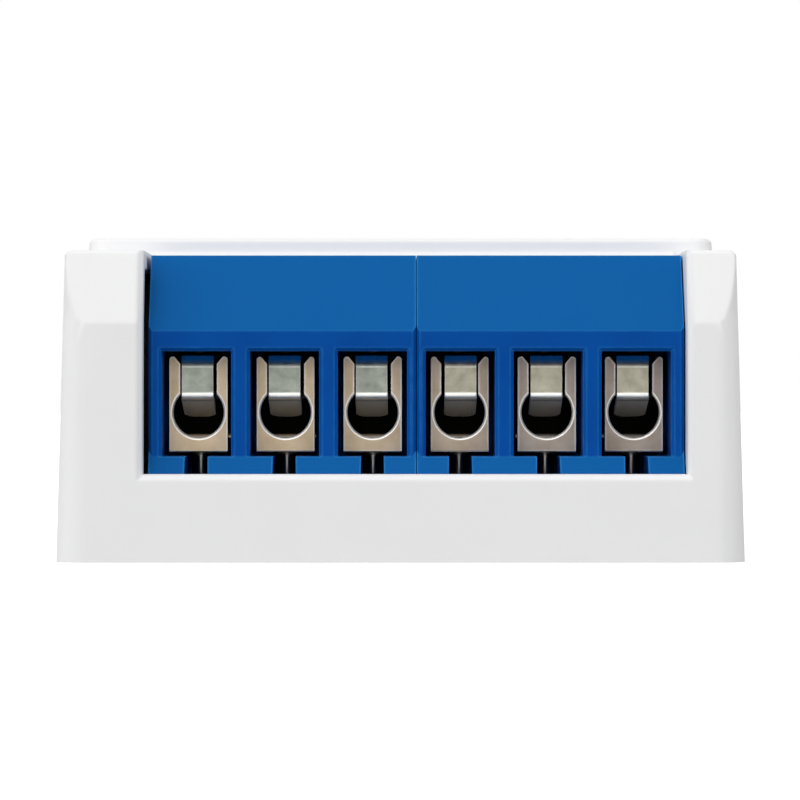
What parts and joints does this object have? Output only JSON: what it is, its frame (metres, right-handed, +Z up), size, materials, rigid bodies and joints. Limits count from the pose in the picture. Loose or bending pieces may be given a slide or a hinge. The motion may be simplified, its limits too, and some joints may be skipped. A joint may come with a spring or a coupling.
{
  "type": "smart relay module",
  "caption": "Flat square wall-box relay module in a white case, with a row of blue screw terminals along one side and a small button on top.",
  "frame": {"origin": "middle of the underside, at the centre of the 39 x 39 mm base", "axes": "+Z up through the raised top panel, terminals and wire entries face -Y, +X to the right seen from the terminals"},
  "size_m": [0.039, 0.039, 0.0187],
  "materials": {
    "casing_white": "satin white moulding",
    "terminal_blue": "moulded blue, fine grain",
    "clamp_brass": "nickel-tinted brass, brushed",
    "guard_steel": "tinned strip",
    "screw_steel": "zinc-plated",
    "board_green": "solder mask over glass laminate",
    "relay_case": "moulded black",
    "capacitor_sleeve": "shrunk sleeve",
    "ferrite": "dark ferrite in sleeve",
    "varistor_coat": "dipped coating",
    "fuse_coat": "ceramic lacquer",
    "chip_black": "moulded epoxy",
    "chip_tan": "fired ceramic",
    "shield_tin": "tinned sheet",
    "track_gold": "plated copper",
    "pin_tin": "tinned",
    "button_white": "satin white moulding",
    "plunger_black": "moulded black",
    "light_clear": "clear acrylic light guide",
    "led_white": "clear resin over phosphor"
  },
  "bodies": {
    "root": {"cover": "casing_white", "base_plate": "casing_white", "main_board": "board_green", "terminal_block_left": "terminal_blue", "terminal_block_right": "terminal_blue", "relay_1": "relay_case", "relay_2": "relay_case", "input_capacitor": "capacitor_sleeve", "output_capacitor": "capacitor_sleeve", "filter_inductor": "ferrite", "varistor": "varistor_coat", "fuse_resistor": "fuse_coat", "bridge_rectifier": "chip_black", "converter_chip": "chip_black", "voltage_regulator": "chip_black", "optocouplers": "chip_black", "driver_transistors": "chip_black", "flyback_diodes": "chip_black", "chip_resistors": "chip_black", "chip_capacitors": "chip_tan", "wireless_board": "board_green", "wireless_shield": "shield_tin", "antenna_track": "track_gold", "header_pins": "pin_tin", "switch_body": "chip_black", "light_pipe": "light_clear", "status_led": "led_white", "terminal_clamp_1": "clamp_brass", "terminal_clamp_2": "clamp_brass", "terminal_clamp_3": "clamp_brass", "terminal_clamp_4": "clamp_brass", "terminal_clamp_5": "clamp_brass", "terminal_clamp_6": "clamp_brass"},
    "button": {"pairing_button": "button_white"},
    "plunger": {"switch_plunger": "plunger_black"},
    "guard_1": {"wire_guard_1": "guard_steel"},
    "screw_1": {"terminal_screw_1": "screw_steel"},
    "guard_2": {"wire_guard_2": "guard_steel"},
    "screw_2": {"terminal_screw_2": "screw_steel"},
    "guard_3": {"wire_guard_3": "guard_steel"},
    "screw_3": {"terminal_screw_3": "screw_steel"},
    "guard_4": {"wire_guard_4": "guard_steel"},
    "screw_4": {"terminal_screw_4": "screw_steel"},
    "guard_5": {"wire_guard_5": "guard_steel"},
    "screw_5": {"terminal_screw_5": "screw_steel"},
    "guard_6": {"wire_guard_6": "guard_steel"},
    "screw_6": {"terminal_screw_6": "screw_steel"}
  },
  "joints": [
    {"name": "guard_1_drop", "type": "slide", "parent": "root", "child": "guard_1", "axis": [0, 0, -1], "range_m": [0, 0.0011]},
    {"name": "screw_1_turn", "type": "hinge", "parent": "guard_1", "child": "screw_1", "pos_m": [-0.0116, -0.0109, 0.012], "axis": [0, 0, -1], "range_deg": [0, 880.1]},
    {"name": "guard_2_drop", "type": "slide", "parent": "root", "child": "guard_2", "axis": [0, 0, -1], "range_m": [0, 0.0011]},
    {"name": "screw_2_turn", "type": "hinge", "parent": "guard_2", "child": "screw_2", "pos_m": [-0.0066, -0.0109, 0.012], "axis": [0, 0, -1], "range_deg": [0, 880.1]},
    {"name": "guard_3_drop", "type": "slide", "parent": "root", "child": "guard_3", "axis": [0, 0, -1], "range_m": [0, 0.0011]},
    {"name": "screw_3_turn", "type": "hinge", "parent": "guard_3", "child": "screw_3", "pos_m": [-0.0016, -0.0109, 0.012], "axis": [0, 0, -1], "range_deg": [0, 880.1]},
    {"name": "guard_4_drop", "type": "slide", "parent": "root", "child": "guard_4", "axis": [0, 0, -1], "range_m": [0, 0.0011]},
    {"name": "screw_4_turn", "type": "hinge", "parent": "guard_4", "child": "screw_4", "pos_m": [0.0034, -0.0109, 0.012], "axis": [0, 0, -1], "range_deg": [0, 880.1]},
    {"name": "guard_5_drop", "type": "slide", "parent": "root", "child": "guard_5", "axis": [0, 0, -1], "range_m": [0, 0.0011]},
    {"name": "screw_5_turn", "type": "hinge", "parent": "guard_5", "child": "screw_5", "pos_m": [0.0084, -0.0109, 0.012], "axis": [0, 0, -1], "range_deg": [0, 880.1]},
    {"name": "guard_6_drop", "type": "slide", "parent": "root", "child": "guard_6", "axis": [0, 0, -1], "range_m": [0, 0.0011]},
    {"name": "screw_6_turn", "type": "hinge", "parent": "guard_6", "child": "screw_6", "pos_m": [0.0134, -0.0109, 0.012], "axis": [0, 0, -1], "range_deg": [0, 880.1]},
    {"name": "button_press", "type": "slide", "parent": "root", "child": "button", "axis": [0, 0, -1], "range_m": [0, 0.00025], "stiffness_N_per_m": 4000},
    {"name": "plunger_press", "type": "slide", "parent": "root", "child": "plunger", "axis": [0, 0, -1], "range_m": [0, 0.00025]}
  ],
  "couplings": [
    {"joint": "screw_1_turn", "follows": "guard_1_drop", "rad_per_m": 13963},
    {"joint": "screw_2_turn", "follows": "guard_2_drop", "rad_per_m": 13963},
    {"joint": "screw_3_turn", "follows": "guard_3_drop", "rad_per_m": 13963},
    {"joint": "screw_4_turn", "follows": "guard_4_drop", "rad_per_m": 13963},
    {"joint": "screw_5_turn", "follows": "guard_5_drop", "rad_per_m": 13963},
    {"joint": "screw_6_turn", "follows": "guard_6_drop", "rad_per_m": 13963},
    {"joint": "plunger_press", "follows": "button_press", "ratio": 1}
  ]
}
